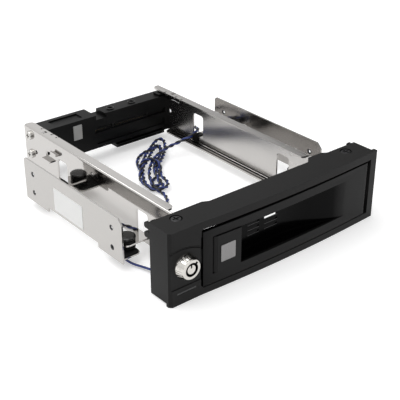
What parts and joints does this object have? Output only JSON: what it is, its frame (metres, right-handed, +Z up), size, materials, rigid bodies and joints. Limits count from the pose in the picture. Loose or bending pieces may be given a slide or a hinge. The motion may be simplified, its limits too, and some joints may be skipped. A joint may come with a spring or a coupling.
{
  "type": "hot swap drive cage",
  "caption": "Half-height bay drive cage with a lockable front door, sprung latch, ejector, sheet metal side rails on rubber dampers and a rear backplane housing.",
  "frame": {"origin": "middle of the outer box's underside, on the plane of the bezel's lower edge", "axes": "+X to the right seen from the front, +Y from the front bezel to the rear housing, +Z up"},
  "size_m": [0.148, 0.1782, 0.042],
  "materials": {
    "bezel_plastic": "fine satin moulding",
    "door_plastic": "satin face with a glossy scoop",
    "housing_plastic": "satin moulding",
    "polished_stainless": "bright, nearly mirror polish",
    "screw_steel": "bright plated steel",
    "lock_chrome": "bright chrome",
    "badge_metal": "satin with a bright rim",
    "clear_plastic": "clear",
    "board_green": "solder mask",
    "label_white": "matt paper",
    "damper_rubber": "matt",
    "cap_black": "glossy",
    "guide_grey": "satin",
    "connector_black": "satin",
    "connector_white": "satin",
    "cable_blue": "soft sheath"
  },
  "bodies": {
    "chassis": {"bezel": "bezel_plastic", "bezel_screws": "screw_steel", "door_hinge_pins": "screw_steel", "lock_barrel": "lock_chrome", "lock_nut": "lock_chrome", "led_light_pipe": "clear_plastic", "led_board": "board_green", "left_wall": "polished_stainless", "right_wall": "polished_stainless", "left_bracket": "polished_stainless", "right_bracket": "polished_stainless", "blank_label": "label_white", "left_front_damper": "damper_rubber", "left_rear_damper": "damper_rubber", "right_front_damper": "damper_rubber", "right_rear_damper": "damper_rubber", "damper_screws": "cap_black", "rear_housing": "housing_plastic", "guide_plate": "guide_grey", "rear_screws": "screw_steel", "backplane_pcb": "board_green", "drive_connector": "connector_black", "power_connector": "connector_white", "data_connector": "connector_black", "slider_rivets": "screw_steel", "cable_clip": "housing_plastic", "rear_cable": "cable_blue", "cable_hank": "cable_blue", "front_cable": "cable_blue"},
    "door": {"door": "door_plastic", "eject_crank": "door_plastic", "crank_pin": "screw_steel", "latch_pin": "screw_steel", "latch_spring": "screw_steel"},
    "latch": {"door_latch": "door_plastic", "badge_plate": "badge_metal"},
    "lock": {"lock_core": "lock_chrome", "lock_cam": "lock_chrome"},
    "slider": {"eject_slider": "housing_plastic"}
  },
  "joints": [
    {"name": "door_hinge", "type": "hinge", "parent": "chassis", "child": "door", "pos_m": [0.0639, -0.0804, 0.021], "axis": [0, 0, 1], "range_deg": [0, 90]},
    {"name": "latch_pull", "type": "hinge", "parent": "door", "child": "latch", "pos_m": [-0.0447, -0.0837, 0.0207], "axis": [0, 0, -1], "range_deg": [0, 20], "stiffness_Nm_per_rad": 0.02},
    {"name": "lock_turn", "type": "hinge", "parent": "chassis", "child": "lock", "pos_m": [-0.0638, -0.0814, 0.021], "axis": [0, -1, 0], "range_deg": [0, 90]},
    {"name": "eject_slide", "type": "slide", "parent": "chassis", "child": "slider", "axis": [0, -1, 0], "range_m": [0, 0.0084]}
  ],
  "couplings": [
    {"joint": "eject_slide", "follows": "door_hinge", "m_per_rad": 0.00532}
  ]
}
